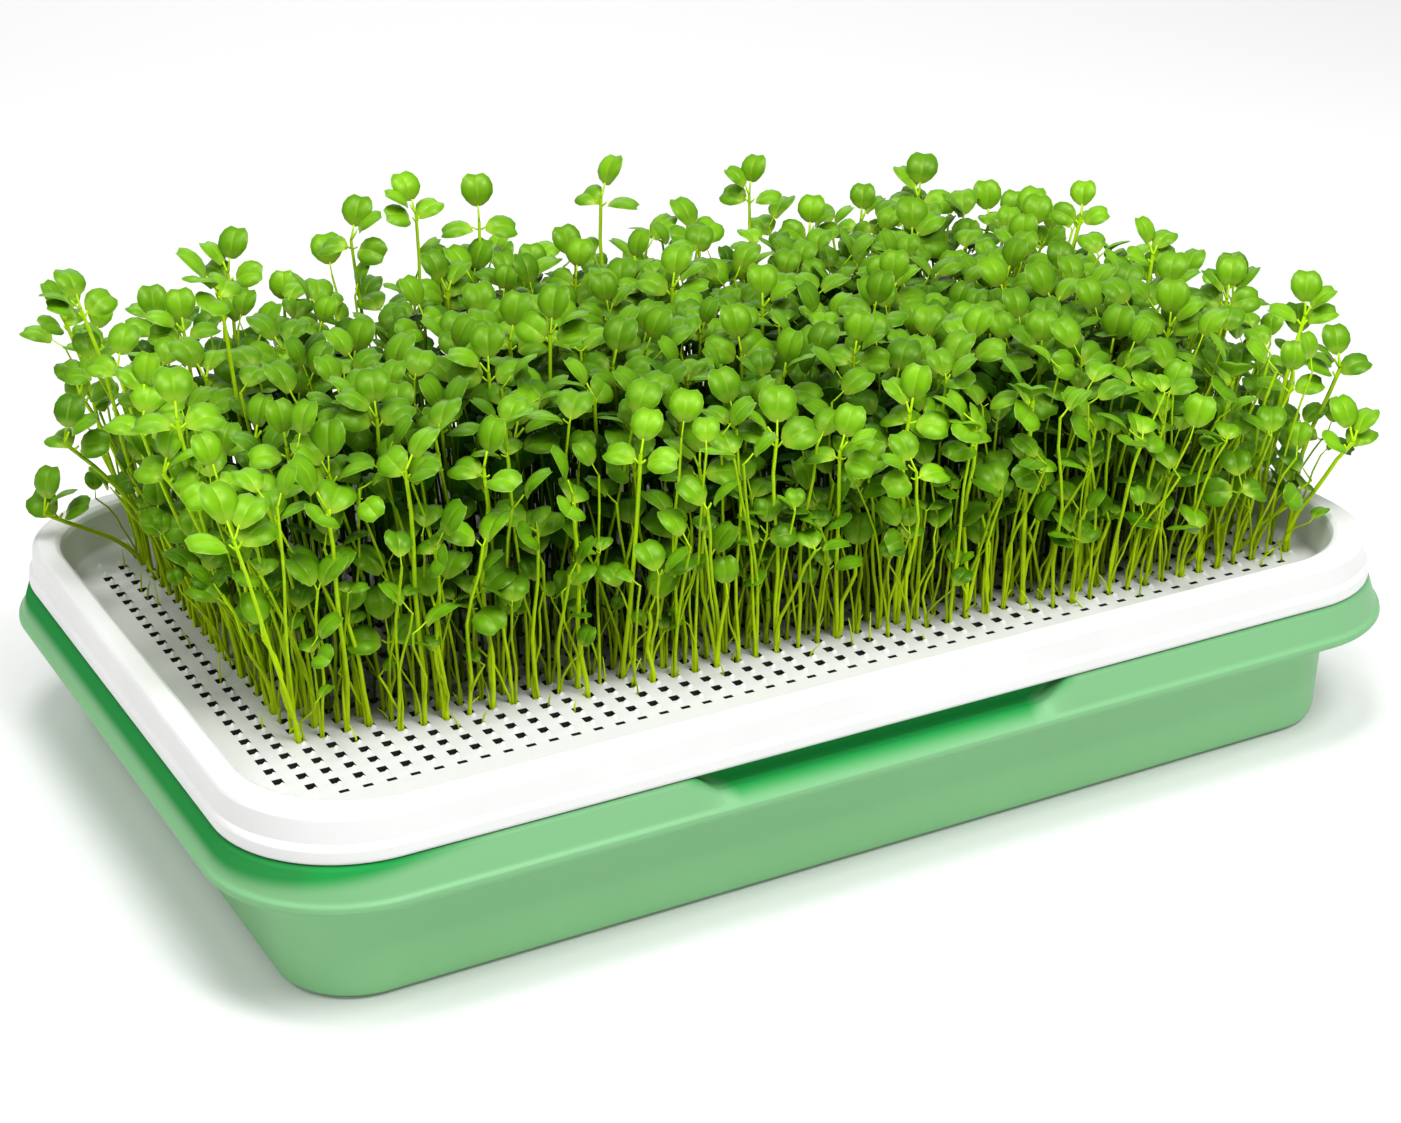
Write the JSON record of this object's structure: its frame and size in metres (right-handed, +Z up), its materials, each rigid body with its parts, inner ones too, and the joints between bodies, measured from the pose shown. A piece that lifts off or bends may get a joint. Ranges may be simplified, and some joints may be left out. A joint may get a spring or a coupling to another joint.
{
  "type": "microgreens tray",
  "caption": "Two-piece sprouting tray: a reservoir with a dished rim carries a perforated mesh tray, full of upright heart-leaved seedlings rooted through the mesh.",
  "frame": {"origin": "middle of the reservoir tray's underside, which is also the bottom centre of the whole part", "axes": "+Z up, +X along the tray's long side, -Y towards the front, where the bare row of mesh holes is"},
  "size_m": [0.34, 0.22, 0.1538],
  "materials": {
    "reservoir_green": "satin moulded polypropylene",
    "mesh_white": "satin moulded polypropylene",
    "seedling_green": "fresh green leaf and stem"
  },
  "bodies": {
    "root": {"base_tray": "reservoir_green", "mesh_tray": "mesh_white", "seedlings_row1_1": "seedling_green", "seedlings_row1_2": "seedling_green", "seedlings_row1_3": "seedling_green", "seedlings_row1_4": "seedling_green", "seedlings_row1_5": "seedling_green", "seedlings_row1_6": "seedling_green", "seedlings_row1_7": "seedling_green", "seedlings_row1_8": "seedling_green", "seedlings_row2_1": "seedling_green", "seedlings_row2_2": "seedling_green", "seedlings_row2_3": "seedling_green", "seedlings_row2_4": "seedling_green", "seedlings_row2_5": "seedling_green", "seedlings_row2_6": "seedling_green", "seedlings_row2_7": "seedling_green", "seedlings_row2_8": "seedling_green", "seedlings_row3_1": "seedling_green", "seedlings_row3_2": "seedling_green", "seedlings_row3_3": "seedling_green", "seedlings_row3_4": "seedling_green", "seedlings_row3_5": "seedling_green", "seedlings_row3_6": "seedling_green", "seedlings_row3_7": "seedling_green", "seedlings_row3_8": "seedling_green", "seedlings_row4_1": "seedling_green", "seedlings_row4_2": "seedling_green", "seedlings_row4_3": "seedling_green", "seedlings_row4_4": "seedling_green", "seedlings_row4_5": "seedling_green", "seedlings_row4_6": "seedling_green", "seedlings_row4_7": "seedling_green", "seedlings_row4_8": "seedling_green", "seedlings_row5_1": "seedling_green", "seedlings_row5_2": "seedling_green", "seedlings_row5_3": "seedling_green", "seedlings_row5_4": "seedling_green", "seedlings_row5_5": "seedling_green", "seedlings_row5_6": "seedling_green", "seedlings_row5_7": "seedling_green", "seedlings_row5_8": "seedling_green", "seedlings_row6_1": "seedling_green", "seedlings_row6_2": "seedling_green", "seedlings_row6_3": "seedling_green", "seedlings_row6_4": "seedling_green", "seedlings_row6_5": "seedling_green", "seedlings_row6_6": "seedling_green", "seedlings_row6_7": "seedling_green", "seedlings_row6_8": "seedling_green", "seedlings_row7_1": "seedling_green", "seedlings_row7_2": "seedling_green", "seedlings_row7_3": "seedling_green", "seedlings_row7_4": "seedling_green", "seedlings_row7_5": "seedling_green", "seedlings_row7_6": "seedling_green", "seedlings_row7_7": "seedling_green", "seedlings_row7_8": "seedling_green"}
  },
  "joints": []
}
